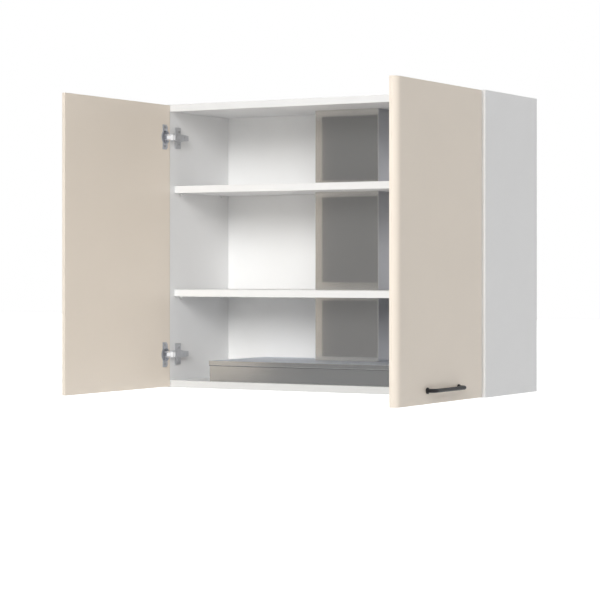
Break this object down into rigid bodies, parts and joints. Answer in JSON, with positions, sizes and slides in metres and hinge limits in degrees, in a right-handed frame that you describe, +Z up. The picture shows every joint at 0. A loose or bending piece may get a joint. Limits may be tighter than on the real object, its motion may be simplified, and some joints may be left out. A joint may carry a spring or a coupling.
{
  "type": "kitchen wall cabinet",
  "caption": "Wide kitchen wall cabinet with double doors on concealed hinges, shelves cut around a duct cover, and a slim cooker hood fitted in its bottom panel.",
  "frame": {"origin": "on the wall plane, at the middle of the width, level with the underside of the carcass", "axes": "+X to the right as seen from the front, +Y into the wall, +Z up"},
  "size_m": [0.9462, 0.749, 0.72],
  "materials": {
    "carcass_board": "white melamine-faced board, satin",
    "back_board": "white faced hardboard",
    "door_board": "satin laminate, postformed edges",
    "black_metal": "satin black",
    "hood_steel": "brushed",
    "nickel_steel": "nickel plated",
    "zinc_steel": "zinc plated",
    "filter_aluminium": "expanded mesh in a frame",
    "duct_plastic": "moulded",
    "dark_plastic": "moulded",
    "pin_plastic": "moulded",
    "lamp_glass": "frosted"
  },
  "bodies": {
    "carcass": {"left_side_panel": "carcass_board", "left_hanger": "zinc_steel", "lower_shelf_pin_left_front": "pin_plastic", "lower_shelf_pin_left_back": "pin_plastic", "upper_shelf_pin_left_front": "pin_plastic", "upper_shelf_pin_left_back": "pin_plastic", "left_lower_hinge_plate": "nickel_steel", "left_lower_hinge_arm": "nickel_steel", "left_upper_hinge_plate": "nickel_steel", "left_upper_hinge_arm": "nickel_steel", "right_side_panel": "carcass_board", "right_hanger": "zinc_steel", "lower_shelf_pin_right_front": "pin_plastic", "lower_shelf_pin_right_back": "pin_plastic", "upper_shelf_pin_right_front": "pin_plastic", "upper_shelf_pin_right_back": "pin_plastic", "right_lower_hinge_plate": "nickel_steel", "right_lower_hinge_arm": "nickel_steel", "right_upper_hinge_plate": "nickel_steel", "right_upper_hinge_arm": "nickel_steel", "top_panel": "carcass_board", "bottom_panel": "carcass_board", "back_panel": "back_board", "lower_shelf": "carcass_board", "upper_shelf": "carcass_board", "hood_body": "hood_steel", "hood_top_cover": "hood_steel", "duct_cover": "hood_steel", "outlet_duct": "duct_plastic", "fan_motor": "zinc_steel", "left_grease_filter": "filter_aluminium", "right_grease_filter": "filter_aluminium", "left_lamp": "lamp_glass", "right_lamp": "lamp_glass"},
    "left_door_set": {"left_door": "door_board", "left_handle": "black_metal", "left_handle_screw_near": "door_board", "left_handle_screw_far": "door_board", "left_lower_hinge_cup": "nickel_steel", "left_upper_hinge_cup": "nickel_steel"},
    "left_upper_rear_link": {"left_upper_rear_link": "nickel_steel"},
    "left_upper_front_link": {"left_upper_front_link": "nickel_steel"},
    "left_lower_rear_link": {"left_lower_rear_link": "nickel_steel"},
    "left_lower_front_link": {"left_lower_front_link": "nickel_steel"},
    "right_door_set": {"right_door": "door_board", "right_handle": "black_metal", "right_handle_screw_near": "door_board", "right_handle_screw_far": "door_board", "right_lower_hinge_cup": "nickel_steel", "right_upper_hinge_cup": "nickel_steel"},
    "right_upper_rear_link": {"right_upper_rear_link": "nickel_steel"},
    "right_upper_front_link": {"right_upper_front_link": "nickel_steel"},
    "right_lower_rear_link": {"right_lower_rear_link": "nickel_steel"},
    "right_lower_front_link": {"right_lower_front_link": "nickel_steel"},
    "fan": {"fan_impeller": "dark_plastic"},
    "light_button": {"light_button": "dark_plastic"},
    "low_button": {"low_button": "dark_plastic"},
    "high_button": {"high_button": "dark_plastic"}
  },
  "joints": [
    {"name": "left_door_swing", "type": "hinge", "parent": "left_upper_rear_link", "child": "left_door_set", "pos_m": [-0.4315, -0.313, 0.36], "axis": [0, 0, 1], "range_deg": [-7.1, 127.87]},
    {"name": "left_upper_rear_link_turn", "type": "hinge", "parent": "carcass", "child": "left_upper_rear_link", "pos_m": [-0.41945, -0.29828, 0.636], "axis": [0, 0, 1], "range_deg": [-37.88, 2.11]},
    {"name": "left_upper_front_link_turn", "type": "hinge", "parent": "carcass", "child": "left_upper_front_link", "pos_m": [-0.41945, -0.307, 0.636], "axis": [0, 0, 1], "range_deg": [-12.88, 0.72]},
    {"name": "left_lower_rear_link_turn", "type": "hinge", "parent": "carcass", "child": "left_lower_rear_link", "pos_m": [-0.41945, -0.29828, 0.084], "axis": [0, 0, 1], "range_deg": [-37.88, 2.11]},
    {"name": "left_lower_front_link_turn", "type": "hinge", "parent": "carcass", "child": "left_lower_front_link", "pos_m": [-0.41945, -0.307, 0.084], "axis": [0, 0, 1], "range_deg": [-12.88, 0.72]},
    {"name": "right_door_swing", "type": "hinge", "parent": "right_upper_rear_link", "child": "right_door_set", "pos_m": [0.4315, -0.313, 0.36], "axis": [0, 0, -1], "range_deg": [-7.1, 127.87]},
    {"name": "right_upper_rear_link_turn", "type": "hinge", "parent": "carcass", "child": "right_upper_rear_link", "pos_m": [0.41945, -0.29828, 0.636], "axis": [0, 0, -1], "range_deg": [-37.88, 2.11]},
    {"name": "right_upper_front_link_turn", "type": "hinge", "parent": "carcass", "child": "right_upper_front_link", "pos_m": [0.41945, -0.307, 0.636], "axis": [0, 0, -1], "range_deg": [-12.88, 0.72]},
    {"name": "right_lower_rear_link_turn", "type": "hinge", "parent": "carcass", "child": "right_lower_rear_link", "pos_m": [0.41945, -0.29828, 0.084], "axis": [0, 0, -1], "range_deg": [-37.88, 2.11]},
    {"name": "right_lower_front_link_turn", "type": "hinge", "parent": "carcass", "child": "right_lower_front_link", "pos_m": [0.41945, -0.307, 0.084], "axis": [0, 0, -1], "range_deg": [-12.88, 0.72]},
    {"name": "fan_spin", "type": "hinge", "parent": "carcass", "child": "fan", "pos_m": [-0.0045, -0.08265, 0.11], "axis": [0, 0, 1], "continuous": true},
    {"name": "light_button_press", "type": "slide", "parent": "carcass", "child": "light_button", "axis": [0, 0, 1], "range_m": [0, 0.0025], "stiffness_N_per_m": 200, "springref_m": -0.001},
    {"name": "low_button_press", "type": "slide", "parent": "carcass", "child": "low_button", "axis": [0, 0, 1], "range_m": [0, 0.0025], "stiffness_N_per_m": 200, "springref_m": -0.001},
    {"name": "high_button_press", "type": "slide", "parent": "carcass", "child": "high_button", "axis": [0, 0, 1], "range_m": [0, 0.0025], "stiffness_N_per_m": 200, "springref_m": -0.001}
  ],
  "couplings": [
    {"joint": "left_upper_rear_link_turn", "follows": "left_door_swing", "ratio": -0.29614},
    {"joint": "left_upper_front_link_turn", "follows": "left_door_swing", "ratio": -0.10065},
    {"joint": "left_lower_rear_link_turn", "follows": "left_door_swing", "ratio": -0.29614},
    {"joint": "left_lower_front_link_turn", "follows": "left_door_swing", "ratio": -0.10065},
    {"joint": "right_upper_rear_link_turn", "follows": "right_door_swing", "ratio": -0.29614},
    {"joint": "right_upper_front_link_turn", "follows": "right_door_swing", "ratio": -0.10065},
    {"joint": "right_lower_rear_link_turn", "follows": "right_door_swing", "ratio": -0.29614},
    {"joint": "right_lower_front_link_turn", "follows": "right_door_swing", "ratio": -0.10065}
  ]
}
